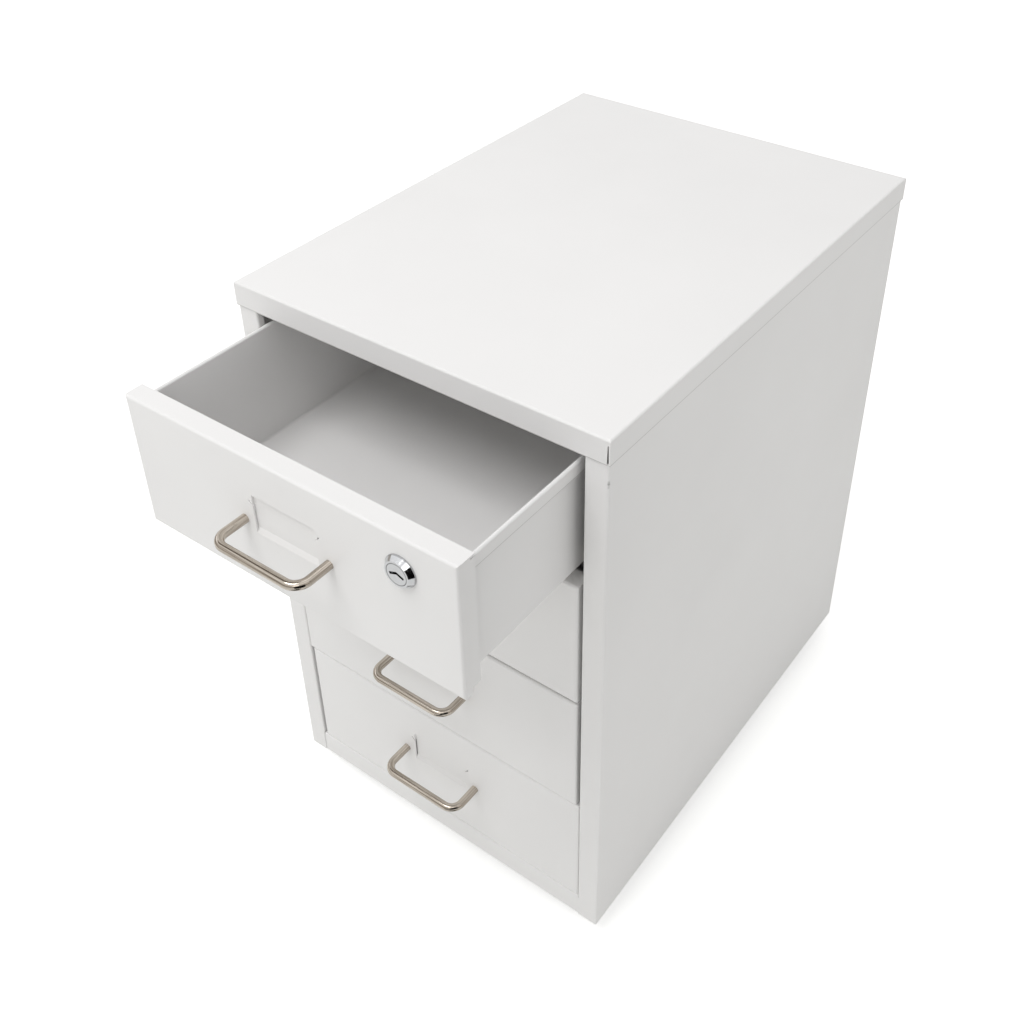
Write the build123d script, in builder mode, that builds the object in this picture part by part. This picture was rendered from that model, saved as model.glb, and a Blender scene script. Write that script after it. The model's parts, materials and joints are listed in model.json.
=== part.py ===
from build123d import *
import os

os.makedirs("parts", exist_ok=True)

# Four-drawer steel pedestal on castors, each folded sheet and fitting a piece of its own.
# Millimetres, +Z up, X to the right as seen from the front, and the drawers open towards -Y.
# The origin is on the floor, under the middle of the whole cabinet with its top drawer pulled.

# Carcass
body_width = 388.0
body_depth = 528.0
body_height = 600.0  # plinth's lower edge to the cover's top
ground_gap = 26.0  # floor to the plinth's lower edge
sheet = 1.0  # steel of the carcass and the drawers
bend = 2.0  # outer radius of a folded edge
post_width = 22.0  # front and rear folds of a side
post_return = 7.0  # fold behind a post's inner edge
side_flange = 15.0  # folds along the top and the foot of a side
cover_lip = 23.0
cover_slit_width = 2.0  # foot of the open seam at each corner of the lip
cover_slit_top = 0.8  # upper end of a seam
cover_slit_start = 5.0  # closed lip above a seam
plinth_height = 29.0
plinth_flange = 15.0
plinth_seam = 1.2  # open joint at the plinth's left end
plinth_weld = 1.4  # reach of the dressed weld that fills the joint at its right end
plinth_weld_gap = 0.05
post_notch = 4.0  # relief at a post's upper outer corner, behind the lip
base_sheet = 1.2
base_flange = 10.0

# Drawer fronts
drawer_count = 4
drawer_pull = 143.0  # how far the top drawer stands open
drawer_gap = 2.5  # between fronts, one above the other
drawer_gap_shares = {1: 1, 2: 1, 3: 0.3, 4: 0.3}  # of that gap, under each front
side_gap = 2.4  # between a front and a post, with the drawer in the middle
side_shift = 1.8  # how far a drawer stands off the middle, within its play
side_shift_shares = {1: 0, 2: -1, 3: -1, 4: 1}
lip_gap = 4.0  # between the top front and the cover's lip
top_front_trim = 6.0  # how much lower the top front is than the others
front_flange = 18.0  # depth of a front's upper and side folds
foot_flange = 9.0  # depth of a front's lower fold
foot_notch = 7.0  # height of the notch behind the lower fold
front_bend = 2.5
corner_slit_width = 2.4  # relief cut in a front's side folds, under the upper fold's rear corners
corner_slit_length = 4.5
label_width = 66.0  # pressed recess for a card
label_rise = 28.0  # handle's level to the recess's upper edge
label_drop = 9.0  # handle's level to the recess's lower edge
label_depth = 2.2
label_top_slope = 2.0  # height of the recess's steep upper edge
label_foot_slope = 5.0  # height of its slanted ledge
label_slit = 0.9  # open cut at each end of the recess
label_draw = 10.0  # height of the recess's upper part, which is drawn in and not cut
label_flare = 3.8  # slanted upper end of each cut, outwards and up
label_flare_width = 1.3

# Drawer trays
tray_inset = 7.0  # front's end to the tray's wall
tray_drop = 7.0  # front's upper edge to the tray's rim
tray_lift = 11.0  # front's lower edge to the tray's underside
tray_rear_gap = 36.0  # shut tray to the back panel
hem_height = 12.0
hem_slot = 2.0  # space inside the folded hem
hem_bend_share = 0.48  # of the hem's thickness
weld_tab = 12.0
back_flange = 12.0

# Runners
runner_sheet = 1.2
runner_tuck = 12.0  # reach of a runner under its tray
runner_start = 20.0  # cabinet's front to a runner's end
runner_wall_gap = 2.2  # runner's upper fold to the tray's wall
running_gap = 0.2
glide_height = 2.0
glide_length = 50.0
shoe_height = 14.0
shoe_length = 35.0
shoe_width = 14.0
shoe_inset = 5.0  # shoe to the tray's rear end

# Handles
handle_pitch = 89.0
handle_wire = 8.0
handle_reach = 33.0  # front's face to the wire's centre
handle_bend = 12.0  # of the wire's centre line
handle_thread = 10.0  # screw inside a handle's leg

# Screws
screw_radius = 2.0
screw_head_radius = 3.8
screw_head_height = 2.2
screw_head_edge = 0.8  # rounding of a head
screw_cross_length = 4.2
screw_cross_width = 0.9
screw_cross_depth_share = 0.6  # of the head's height
screw_play = 0.05
nut_bite = 3.0  # screw beyond the sheet that it holds

# Lock
lock_from_end = 52.0  # top front's right end to the lock's axis
lock_from_top = 31.0
bezel_radius = 14.0
bezel_step = 1.2
lock_face_radius = 11.0
lock_stand = 5.0  # front's face to the lock's face
lock_body_radius = 9.0
lock_body_length = 20.0  # behind the front's face
lock_nut_radius = 13.0
lock_nut_height = 4.0
plug_head_radius = 9.2
plug_head_height = 2.0
plug_radius = 6.0
plug_gap = 0.1
plug_tail = 0.5  # plug beyond the lock's body
keyway_length = 13.0
keyway_width = 2.2
keyway_depth = 7.0
keyway_rise = 2.6  # of the bend in its middle
cam_width = 14.0
cam_sheet = 2.0
cam_thread = 10.0  # screw inside the plug
cam_catch = 9.0  # cam's reach above the rail's lower edge
catch_gap = 1.0  # rail's rear edge to the shut cam

# Castors
wheel_radius = 19.0
wheel_width = 16.0
wheel_edge = 3.0
hub_radius = 9.0
hub_recess = 1.5
castor_trail = 14.0  # swivel axis to the axle
castor_clearance = 5.0  # swinging castor to the carcass
fork_sheet = 2.0
fork_gap = 1.0  # wheel to fork
fork_length = 22.0
fork_boss_radius = 6.0
axle_radius = 3.0
axle_head_radius = 4.5
axle_head_height = 1.5
axle_gap = 0.05
castor_plate = 42.0
castor_plate_sheet = 2.0
castor_plate_corner = 5.0
castor_screw_spacing = 32.0
swivel_gap = 0.3
pin_radius = 4.0
pin_head_radius = 7.0
pin_head_height = 2.5
pin_gap = 0.1

# Places worked out from the sizes
half_width = body_width / 2
cover_width = body_width + 2 * sheet
cover_depth = body_depth + 2 * sheet
middle_y = (drawer_pull + handle_reach + handle_wire / 2 - sheet - screw_head_height) / 2
front_y = middle_y - body_depth / 2
back_y = middle_y + body_depth / 2
foot_z = ground_gap
top_z = foot_z + body_height
lip_z = top_z - cover_lip
plinth_z = foot_z + plinth_height
base_z = plinth_z - sheet
post_x = half_width - post_width
cover_screw_x = half_width - post_width / 2
cover_screw_z = lip_z + cover_lip / 2
cover_screw_places = [(-cover_screw_x, cover_screw_z), (cover_screw_x, cover_screw_z)]

fronts_height = lip_z - lip_gap - plinth_z - drawer_gap * sum(drawer_gap_shares.values())
front_height = (fronts_height + top_front_trim) / drawer_count
front_width = 2 * (post_x - side_gap)
tray_width = front_width - 2 * tray_inset
tray_depth = body_depth - 3 * sheet - tray_rear_gap
hem_thickness = 2 * sheet + hem_slot
hem_bend = hem_thickness * hem_bend_share
runner_end = back_y - 2 * sheet
stop_x = tray_width / 2 + runner_wall_gap

lock_x = front_width / 2 - lock_from_end
cam_length = lock_from_top + lip_gap + cam_catch
rail_flange = lock_body_length + plug_tail - catch_gap

fork_half = wheel_width / 2 + fork_gap + fork_sheet
swing = ((castor_trail + wheel_radius) ** 2 + (fork_half + axle_head_height) ** 2) ** 0.5
castor_x = half_width - sheet - side_flange - castor_clearance - swing
castor_front_y = front_y + plinth_flange + castor_clearance + swing
castor_rear_y = back_y - 2 * sheet - castor_clearance - swing
plate_z = base_z - base_sheet - castor_plate_sheet
fork_z = plate_z - swivel_gap
castors = {
    "front_left": (-castor_x, castor_front_y),
    "front_right": (castor_x, castor_front_y),
    "rear_left": (-castor_x, castor_rear_y),
    "rear_right": (castor_x, castor_rear_y),
}
castor_screw_reach = castor_screw_spacing / 2
castor_screw_places = [
    (x + across * castor_screw_reach, y + along * castor_screw_reach)
    for x, y in castors.values()
    for across in (-1, 1)
    for along in (-1, 1)
]


def upright(y):  # plane facing the front, with X across and Z up
    return Plane((0, y, 0), x_dir=(1, 0, 0), z_dir=(0, -1, 0))


def folded(points, radius, thickness):  # section of a folded sheet, metal on the left of its line
    with BuildSketch() as section:
        with BuildLine():
            FilletPolyline(*points, radius=radius)
            offset(amount=thickness, side=Side.LEFT)
        make_face()
    return section.sketch


# Screws with rounded heads and a cross recess; head and shank are lengths along the seat's normal
def cross_screws(seat, places, head, shank):
    with BuildPart() as screws:
        with BuildSketch(seat):
            with Locations(*places):
                Circle(screw_head_radius)
        extrude(amount=head)
        outwards = Axis(seat.origin, seat.z_dir * head)
        fillet(screws.faces().group_by(outwards)[-1].edges(), radius=screw_head_edge)
        with BuildSketch(seat.offset(head)):
            with Locations(*places):
                Rectangle(screw_cross_length, screw_cross_width)
                Rectangle(screw_cross_width, screw_cross_length)
        extrude(amount=-head * screw_cross_depth_share, mode=Mode.SUBTRACT)
        with BuildSketch(seat):
            with Locations(*places):
                Circle(screw_radius)
        extrude(amount=shank)
    return screws.part


def save(part, name):
    part.label = name
    export_step(part, f"parts/{name}.step")


# Sides: a flat wall folded in at the front as a post with a return, and in at the rear, top and foot
def side_panel():
    wall = folded(
        [
            (post_x, front_y + post_return),
            (post_x, front_y),
            (half_width, front_y),
            (half_width, back_y),
            (post_x, back_y),
        ],
        bend,
        sheet,
    )
    side_top = top_z - bend
    flange_x = half_width - sheet - side_flange / 2
    with BuildPart() as side:
        with BuildSketch(Plane.XY.offset(foot_z)):
            add(wall)
        extrude(amount=side_top - foot_z)
        with Locations(
            (flange_x, middle_y, foot_z + sheet / 2),
            (flange_x, middle_y, side_top - sheet / 2),
        ):
            Box(side_flange, body_depth - 2 * sheet, sheet)
        with BuildSketch(upright(back_y)):
            with Locations((cover_screw_x, cover_screw_z)):
                Circle(screw_radius + screw_play)
        extrude(amount=sheet, mode=Mode.SUBTRACT)
        with BuildSketch(Plane.XY.offset(lip_z + sheet)):
            with Locations((half_width - post_notch / 2, front_y + post_notch / 2)):
                Rectangle(post_notch, post_notch)
        extrude(amount=cover_lip, mode=Mode.SUBTRACT)
    return side.part


right = side_panel()
save(right, "right_side")
with BuildPart() as left_side:
    add(right)
    mirror(about=Plane.YZ, mode=Mode.REPLACE)
save(left_side.part, "left_side")

# Back panel, inside the rear folds of the sides
back_foot = foot_z + sheet
back_top = top_z - bend - sheet
with BuildPart() as back_panel:
    with BuildSketch(upright(back_y - sheet)):
        with Locations((0, (back_foot + back_top) / 2)):
            Rectangle(body_width - 2 * bend, back_top - back_foot)
        with Locations(*cover_screw_places):
            Circle(screw_radius + screw_play, mode=Mode.SUBTRACT)
    extrude(amount=sheet)
save(back_panel.part, "back_panel")

# Cover: a shallow tray turned over, with an open seam at each corner of its lip
with BuildSketch() as cover_slit:
    with BuildLine():
        Polyline(
            (-cover_slit_width / 2, 0),
            (cover_slit_width / 2, 0),
            (cover_slit_top / 2, cover_lip - cover_slit_start),
            (-cover_slit_top / 2, cover_lip - cover_slit_start),
            close=True,
        )
    make_face()
slit_x = cover_width / 2 - sheet - cover_slit_width / 2
slit_y = front_y + cover_slit_width / 2
with BuildPart() as top_cover:
    with BuildSketch(Plane.XY.offset(lip_z)):
        with Locations((0, middle_y)):
            Rectangle(cover_width, cover_depth)
    extrude(amount=cover_lip)
    fillet(top_cover.faces().sort_by(Axis.Z)[-1].edges(), radius=bend)
    offset(amount=-sheet, openings=top_cover.faces().sort_by(Axis.Z)[0])
    with BuildSketch(upright(front_y)):
        with Locations((slit_x, lip_z)):
            add(cover_slit.sketch)
    extrude(amount=sheet, mode=Mode.SUBTRACT)
    with BuildSketch(upright(back_y + sheet)):
        with Locations((-slit_x, lip_z), (slit_x, lip_z)):
            add(cover_slit.sketch)
    extrude(amount=sheet, mode=Mode.SUBTRACT)
    with BuildSketch(Plane.YZ.offset(-half_width)):
        with Locations((slit_y, lip_z)):
            add(cover_slit.sketch)
    extrude(amount=-sheet, mode=Mode.SUBTRACT)
    with BuildSketch(upright(back_y + sheet)):
        with Locations(*cover_screw_places):
            Circle(screw_radius + screw_play)
    extrude(amount=sheet, mode=Mode.SUBTRACT)
save(top_cover.part, "top_cover")

# Two screws through the cover's rear lip
cover_seat = upright(back_y + sheet)
cover_screws = cross_screws(cover_seat, cover_screw_places, -screw_head_height, 3 * sheet + nut_bite)
save(cover_screws, "cover_screws")

# Rail behind the cover's front lip, which the lock's cam catches
rail_section = folded(
    [(front_y, top_z - bend), (front_y, lip_z), (front_y + rail_flange, lip_z)],
    bend,
    sheet,
)
with BuildPart() as top_front_rail:
    with BuildSketch(Plane.YZ.offset(-post_x)):
        add(rail_section)
    extrude(amount=2 * post_x)
save(top_front_rail.part, "top_front_rail")

# Plinth rail between the posts
plinth_section = folded(
    [
        (front_y + plinth_flange, plinth_z),
        (front_y, plinth_z),
        (front_y, foot_z),
        (front_y + plinth_flange, foot_z),
    ],
    bend,
    sheet,
)
with BuildPart() as plinth_rail:
    with BuildSketch(Plane.YZ.offset(plinth_seam - post_x)):
        add(plinth_section)
    extrude(amount=2 * post_x - plinth_seam)
    with BuildSketch(Plane.XY.offset(foot_z + bend)):
        with Locations((post_x + plinth_weld / 2, front_y + sheet / 2)):
            Rectangle(plinth_weld, sheet)
        with Locations((post_x + bend, front_y + bend)):
            Circle(bend + plinth_weld_gap, mode=Mode.SUBTRACT)
    extrude(amount=plinth_height - 2 * bend)
save(plinth_rail.part, "plinth_rail")

# Base pan, which carries the castors
base_x = half_width - sheet
base_start = front_y + post_return
base_section = folded(
    [
        (-base_x, base_z - base_sheet + base_flange),
        (-base_x, base_z - base_sheet),
        (base_x, base_z - base_sheet),
        (base_x, base_z - base_sheet + base_flange),
    ],
    bend,
    base_sheet,
)
with BuildPart() as base_pan:
    with BuildSketch(upright(runner_end)):
        add(base_section)
    extrude(amount=runner_end - base_start)
    with BuildSketch(Plane.XY.offset(base_z)):
        with Locations(*castor_screw_places):
            Circle(screw_radius + screw_play)
    extrude(amount=-base_sheet, mode=Mode.SUBTRACT)
save(base_pan.part, "base_pan")


# Runners: a channel on each side for each drawer, whose lower fold reaches under the tray
def runner(tray_z):
    floor_z = tray_z - running_gap - glide_height
    roof_z = floor_z + shoe_height + 2 * running_gap
    wall_x = half_width - sheet
    foot_x = tray_width / 2 - runner_tuck
    channel = folded(
        [
            (foot_x, floor_z - runner_sheet),
            (wall_x, floor_z - runner_sheet),
            (wall_x, roof_z + runner_sheet),
            (stop_x, roof_z + runner_sheet),
        ],
        bend,
        runner_sheet,
    )
    with BuildPart() as piece:
        with BuildSketch(upright(runner_end)):
            add(channel)
        extrude(amount=runner_end - front_y - runner_start)
    return piece.part


# Nylon glide at a runner's front end: a pad under the tray and a stop for the shoe
def runner_glide(tray_z):
    floor_z = tray_z - running_gap - glide_height
    web_x = half_width - sheet - runner_sheet
    block_x = web_x - bend
    with BuildPart() as piece:
        with BuildSketch(upright(front_y + runner_start + glide_length)):
            with BuildLine():
                Polyline(
                    (tray_width / 2 - runner_tuck, floor_z),
                    (block_x, floor_z),
                    (block_x, floor_z + shoe_height),
                    (stop_x, floor_z + shoe_height),
                    (stop_x, floor_z + glide_height),
                    (tray_width / 2 - runner_tuck, floor_z + glide_height),
                    close=True,
                )
            make_face()
        extrude(amount=glide_length)
    return piece.part


# Drawer front: a pan of folded sheet with a pressed card recess and holes for handle and lock
def drawer_front(face_y, low_z, height, handle_z, lock_z):
    top = low_z + height
    recess_top = handle_z + label_rise
    recess_low = handle_z - label_drop
    lip_depth = label_depth - label_slit
    cut_top = recess_top - label_draw
    end_x = label_width / 2
    with BuildPart() as pan:
        with BuildSketch(upright(face_y + front_flange)):
            with Locations((0, low_z + height / 2)):
                Rectangle(front_width, height)
        extrude(amount=front_flange)
        fillet(pan.faces().sort_by(Axis.Y)[0].edges(), radius=front_bend)
        offset(amount=-sheet, openings=pan.faces().sort_by(Axis.Y)[-1])
        with BuildSketch(upright(face_y + front_flange)):
            with Locations((0, low_z + foot_notch / 2)):
                Rectangle(front_width, foot_notch)
        extrude(amount=front_flange - foot_flange, mode=Mode.SUBTRACT)
        with BuildSketch(upright(face_y + front_flange)):
            with Locations((0, top - sheet - corner_slit_width / 2)):
                Rectangle(front_width, corner_slit_width)
        extrude(amount=corner_slit_length, mode=Mode.SUBTRACT)
        with BuildSketch(upright(face_y + sheet)):
            with Locations((0, (recess_top + recess_low) / 2)):
                Rectangle(label_width, recess_top - recess_low)
            with Locations((-handle_pitch / 2, handle_z), (handle_pitch / 2, handle_z)):
                Circle(screw_radius + screw_play)
            if lock_z:
                with Locations((lock_x, lock_z)):
                    Circle(lock_body_radius + screw_play)
        extrude(amount=sheet, mode=Mode.SUBTRACT)
        with BuildSketch(Plane.YZ.offset(-label_width / 2)):
            with BuildLine():
                Polyline(
                    (face_y, recess_top),
                    (face_y + label_depth, recess_top - label_top_slope),
                    (face_y + label_depth, recess_low + label_foot_slope),
                    (face_y, recess_low),
                    (face_y + sheet, recess_low),
                    (face_y + sheet + label_depth, recess_low + label_foot_slope),
                    (face_y + sheet + label_depth, recess_top - label_top_slope),
                    (face_y + sheet, recess_top),
                    close=True,
                )
            make_face()
        extrude(amount=label_width)
        with BuildSketch(upright(face_y + lip_depth)):
            with Locations(
                (-label_width / 2 - sheet / 2, (recess_top + recess_low) / 2),
                (label_width / 2 + sheet / 2, (recess_top + recess_low) / 2),
            ):
                Rectangle(sheet, recess_top - recess_low)
        extrude(amount=lip_depth - sheet)
        with BuildSketch(upright(face_y + sheet + label_depth)):
            with Locations((-end_x - sheet / 2, recess_top - label_draw / 2), (end_x + sheet / 2, recess_top - label_draw / 2)):
                Rectangle(sheet, label_draw)
        extrude(amount=label_depth)
        with BuildSketch(upright(face_y + sheet)):
            for side in (-1, 1):
                with BuildLine():
                    Line((side * end_x, cut_top), (side * (end_x + label_flare), cut_top + label_flare))
                trace(line_width=label_flare_width)
        extrude(amount=sheet, mode=Mode.SUBTRACT)
    return pan.part


# Drawer tray: floor and both walls from one sheet, with hemmed rims and tabs behind the front
def drawer_tray(face_y, floor_z, rim_z):
    inner = tray_width / 2 - sheet
    hem_x = inner + hem_thickness
    tab_low = floor_z + sheet + hem_bend
    section = folded(
        [
            (hem_x, rim_z - hem_height),
            (hem_x, rim_z),
            (inner, rim_z),
            (inner, floor_z + sheet),
            (-inner, floor_z + sheet),
            (-inner, rim_z),
            (-hem_x, rim_z),
            (-hem_x, rim_z - hem_height),
        ],
        hem_bend,
        sheet,
    )
    with BuildPart() as tray:
        with BuildSketch(upright(face_y + sheet + tray_depth)):
            add(section)
        extrude(amount=tray_depth)
        with BuildSketch(upright(face_y + 2 * sheet)):
            with Locations(
                (weld_tab / 2 - inner, (tab_low + rim_z - hem_bend) / 2),
                (inner - weld_tab / 2, (tab_low + rim_z - hem_bend) / 2),
            ):
                Rectangle(weld_tab, rim_z - hem_bend - tab_low)
        extrude(amount=sheet)
    return tray.part


# Drawer back, folded forwards at both ends against the tray's walls
def drawer_back(face_y, floor_z, rim_z):
    inner = tray_width / 2 - sheet
    rear = face_y + sheet + tray_depth
    low = floor_z + sheet + hem_bend
    section = folded(
        [(inner, rear - back_flange), (inner, rear), (-inner, rear), (-inner, rear - back_flange)],
        bend,
        sheet,
    )
    with BuildPart() as back:
        with BuildSketch(Plane.XY.offset(low)):
            add(section)
        extrude(amount=rim_z - hem_bend - low)
    return back.part


# Nylon shoes on the tray's rear corners, which run inside the runners
def drawer_shoes(face_y, floor_z):
    low = floor_z - glide_height
    rear = face_y + sheet + tray_depth - shoe_inset
    with BuildPart() as shoes:
        with BuildSketch(upright(rear)):
            with Locations(
                (-tray_width / 2 - shoe_width / 2, low + shoe_height / 2),
                (tray_width / 2 + shoe_width / 2, low + shoe_height / 2),
            ):
                Rectangle(shoe_width, shoe_height)
        extrude(amount=shoe_length)
    return shoes.part


# Handle: one bent wire with a tapped hole in each leg
def drawer_handle(face_y, handle_z):
    bar_y = face_y - handle_reach
    half = handle_pitch / 2
    with BuildPart() as handle:
        with BuildLine(Plane.XY.offset(handle_z)):
            FilletPolyline(
                (-half, face_y), (-half, bar_y), (half, bar_y), (half, face_y), radius=handle_bend
            )
        with BuildSketch(upright(face_y)):
            with Locations((-half, handle_z)):
                Circle(handle_wire / 2)
        sweep()
        with BuildSketch(upright(face_y)):
            with Locations((-half, handle_z), (half, handle_z)):
                Circle(screw_radius + screw_play)
        extrude(amount=handle_thread, mode=Mode.SUBTRACT)
    return handle.part


# Handle screws, put in from behind the front
def handle_screws(face_y, handle_z):
    half = handle_pitch / 2
    places = [(-half, handle_z), (half, handle_z)]
    return cross_screws(upright(face_y + sheet), places, -screw_head_height, sheet + handle_thread)


# Drawers, numbered from the top, with their runners
glides = []
top_face_y = front_y - drawer_pull
top_lock_z = lip_z - lip_gap - lock_from_top
for number in range(1, drawer_count + 1):
    is_top = number == 1
    face_y = top_face_y if is_top else front_y
    steps = drawer_count - number
    gaps_below = drawer_gap * sum(drawer_gap_shares[n] for n in range(number, drawer_count + 1))
    low_z = plinth_z + gaps_below + steps * front_height
    height = front_height - top_front_trim if is_top else front_height
    handle_z = low_z + height / 2
    floor_z = low_z + tray_lift
    rim_z = low_z + height - tray_drop
    lock_z = top_lock_z if is_top else 0
    aside = Location((side_shift * side_shift_shares[number], 0, 0))
    front = drawer_front(face_y, low_z, height, handle_z, lock_z)
    save(front.moved(aside), f"drawer_{number}_front")
    tray = drawer_tray(face_y, floor_z, rim_z)
    save(tray.moved(aside), f"drawer_{number}_tray")
    back = drawer_back(face_y, floor_z, rim_z)
    save(back.moved(aside), f"drawer_{number}_back")
    shoes = drawer_shoes(face_y, floor_z)
    save(shoes.moved(aside), f"drawer_{number}_shoes")
    handle = drawer_handle(face_y, handle_z)
    save(handle.moved(aside), f"drawer_{number}_handle")
    screws = handle_screws(face_y, handle_z)
    save(screws.moved(aside), f"drawer_{number}_handle_screws")
    right_runner = runner(floor_z)
    save(right_runner, f"right_runner_{number}")
    with BuildPart() as left_runner:
        add(right_runner)
        mirror(about=Plane.YZ, mode=Mode.REPLACE)
    save(left_runner.part, f"left_runner_{number}")
    glides.append(runner_glide(floor_z))

# One nylon glide at the front of every runner
with BuildPart() as runner_glides:
    add(glides)
    mirror(about=Plane.YZ)
save(runner_glides.part, "runner_glides")

# Lock: body with a tapered bezel, its nut, the turning plug, the cam and the cam's screw
lock_axis = Axis((lock_x, top_face_y, top_lock_z), (0, 1, 0))
lock_plane = Plane((lock_x, top_face_y, top_lock_z), x_dir=(1, 0, 0), z_dir=(0, 0, 1))
plug_seat = plug_head_height - lock_stand
cam_y = top_face_y + lock_body_length + plug_tail
with BuildPart() as lock_body:
    with BuildSketch(lock_plane):
        with BuildLine():
            Polyline(
                (plug_radius + plug_gap, lock_body_length),
                (lock_body_radius, lock_body_length),
                (lock_body_radius, 0),
                (bezel_radius, 0),
                (bezel_radius, -bezel_step),
                (lock_face_radius, -lock_stand),
                (plug_head_radius + plug_gap, -lock_stand),
                (plug_head_radius + plug_gap, plug_seat + plug_gap),
                (plug_radius + plug_gap, plug_seat + plug_gap),
                close=True,
            )
        make_face()
    revolve(axis=lock_axis)
save(lock_body.part, "lock_body")

with BuildPart() as lock_nut:
    with BuildSketch(upright(top_face_y + sheet + lock_nut_height)):
        with Locations((lock_x, top_lock_z)):
            RegularPolygon(lock_nut_radius, side_count=6)
            Circle(lock_body_radius + screw_play, mode=Mode.SUBTRACT)
    extrude(amount=lock_nut_height)
save(lock_nut.part, "lock_nut")

with BuildPart() as lock_plug:
    with BuildSketch(lock_plane):
        with BuildLine():
            Polyline(
                (0, -lock_stand),
                (plug_head_radius, -lock_stand),
                (plug_head_radius, plug_seat),
                (plug_radius, plug_seat),
                (plug_radius, lock_body_length + plug_tail),
                (0, lock_body_length + plug_tail),
                close=True,
            )
        make_face()
    revolve(axis=lock_axis)
    with BuildSketch(upright(top_face_y - lock_stand + keyway_depth)):
        with BuildLine():
            Polyline(
                (lock_x - keyway_length / 2, top_lock_z - keyway_rise / 2),
                (lock_x, top_lock_z + keyway_rise / 2),
                (lock_x + keyway_length / 2, top_lock_z - keyway_rise / 2),
            )
        trace(line_width=keyway_width)
    extrude(amount=keyway_depth, mode=Mode.SUBTRACT)
    with BuildSketch(upright(cam_y)):
        with Locations((lock_x, top_lock_z)):
            Circle(screw_radius + screw_play)
    extrude(amount=cam_thread, mode=Mode.SUBTRACT)
save(lock_plug.part, "lock_plug")

cam_span = cam_length - cam_width / 2
with BuildPart() as lock_cam:
    with BuildSketch(upright(cam_y + cam_sheet)):
        with Locations((lock_x - cam_span / 2, top_lock_z)):
            SlotCenterToCenter(cam_span, cam_width)
        with Locations((lock_x, top_lock_z)):
            Circle(screw_radius + screw_play, mode=Mode.SUBTRACT)
    extrude(amount=cam_sheet)
save(lock_cam.part, "lock_cam")

cam_seat = upright(cam_y + cam_sheet)
cam_places = [(lock_x, top_lock_z)]
save(cross_screws(cam_seat, cam_places, -screw_head_height, cam_sheet + cam_thread), "cam_screw")

# Castor plates, each with the headed pin that its fork hangs from
with BuildPart() as castor_plates:
    with BuildSketch(Plane.XY.offset(plate_z)):
        with Locations(*castors.values()):
            RectangleRounded(castor_plate, castor_plate, castor_plate_corner)
        with Locations(*castor_screw_places):
            Circle(screw_radius + screw_play, mode=Mode.SUBTRACT)
    extrude(amount=castor_plate_sheet)
    pin_length = fork_sheet + 2 * swivel_gap
    with BuildSketch(Plane.XY.offset(plate_z)):
        with Locations(*castors.values()):
            Circle(pin_radius)
    extrude(amount=-pin_length)
    with BuildSketch(Plane.XY.offset(plate_z - pin_length)):
        with Locations(*castors.values()):
            Circle(pin_head_radius)
    extrude(amount=-pin_head_height)
save(castor_plates.part, "castor_plates")

castor_seat = Plane.XY.offset(plate_z)
castor_shank = castor_plate_sheet + base_sheet + nut_bite
save(cross_screws(castor_seat, castor_screw_places, -screw_head_height, castor_shank), "castor_screws")


# Castor fork: two legs under a bored top
def castor_fork(x, y):
    leg_x = wheel_width / 2 + fork_gap
    with BuildPart() as fork:
        with BuildSketch(Plane.XY.offset(fork_z)):
            with Locations((x, y)):
                Rectangle(2 * fork_half, fork_length)
                Circle(pin_radius + pin_gap, mode=Mode.SUBTRACT)
        extrude(amount=-fork_sheet)
        with BuildSketch(Plane.YZ.offset(x + leg_x), Plane.YZ.offset(x - fork_half)):
            with Locations((y, fork_z - fork_sheet / 2)):
                Rectangle(fork_length, fork_sheet)
            with Locations((y + castor_trail, wheel_radius)):
                Circle(fork_boss_radius)
            make_hull()
            with Locations((y + castor_trail, wheel_radius)):
                Circle(axle_radius + axle_gap, mode=Mode.SUBTRACT)
        extrude(amount=fork_sheet)
    return fork.part


# Castor wheel with a recessed hub on both faces
def castor_wheel(x, y):
    with BuildPart() as wheel:
        with BuildSketch(Plane.YZ.offset(x - wheel_width / 2)):
            with Locations((y + castor_trail, wheel_radius)):
                Circle(wheel_radius)
        extrude(amount=wheel_width)
        fillet(wheel.edges(), radius=wheel_edge)
        with BuildSketch(
            Plane.YZ.offset(x - wheel_width / 2), Plane.YZ.offset(x + wheel_width / 2 - hub_recess)
        ):
            with Locations((y + castor_trail, wheel_radius)):
                Circle(wheel_radius - 2 * wheel_edge)
                Circle(hub_radius, mode=Mode.SUBTRACT)
        extrude(amount=hub_recess, mode=Mode.SUBTRACT)
        with BuildSketch(Plane.YZ.offset(x - wheel_width / 2)):
            with Locations((y + castor_trail, wheel_radius)):
                Circle(axle_radius + axle_gap)
        extrude(amount=wheel_width, mode=Mode.SUBTRACT)
    return wheel.part


# Castor axle, headed outside both legs
def castor_axle(x, y):
    with BuildPart() as axle:
        with BuildSketch(Plane.YZ.offset(x - fork_half)):
            with Locations((y + castor_trail, wheel_radius)):
                Circle(axle_radius)
        extrude(amount=2 * fork_half)
        with BuildSketch(
            Plane.YZ.offset(x - fork_half - axle_head_height), Plane.YZ.offset(x + fork_half)
        ):
            with Locations((y + castor_trail, wheel_radius)):
                Circle(axle_head_radius)
        extrude(amount=axle_head_height)
    return axle.part


for corner, (x, y) in castors.items():
    save(castor_fork(x, y), f"castor_{corner}_fork")
    save(castor_wheel(x, y), f"castor_{corner}_wheel")
    save(castor_axle(x, y), f"castor_{corner}_axle")
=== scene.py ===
import json
import math

import bmesh
import bpy
from mathutils import Matrix, Vector


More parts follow.
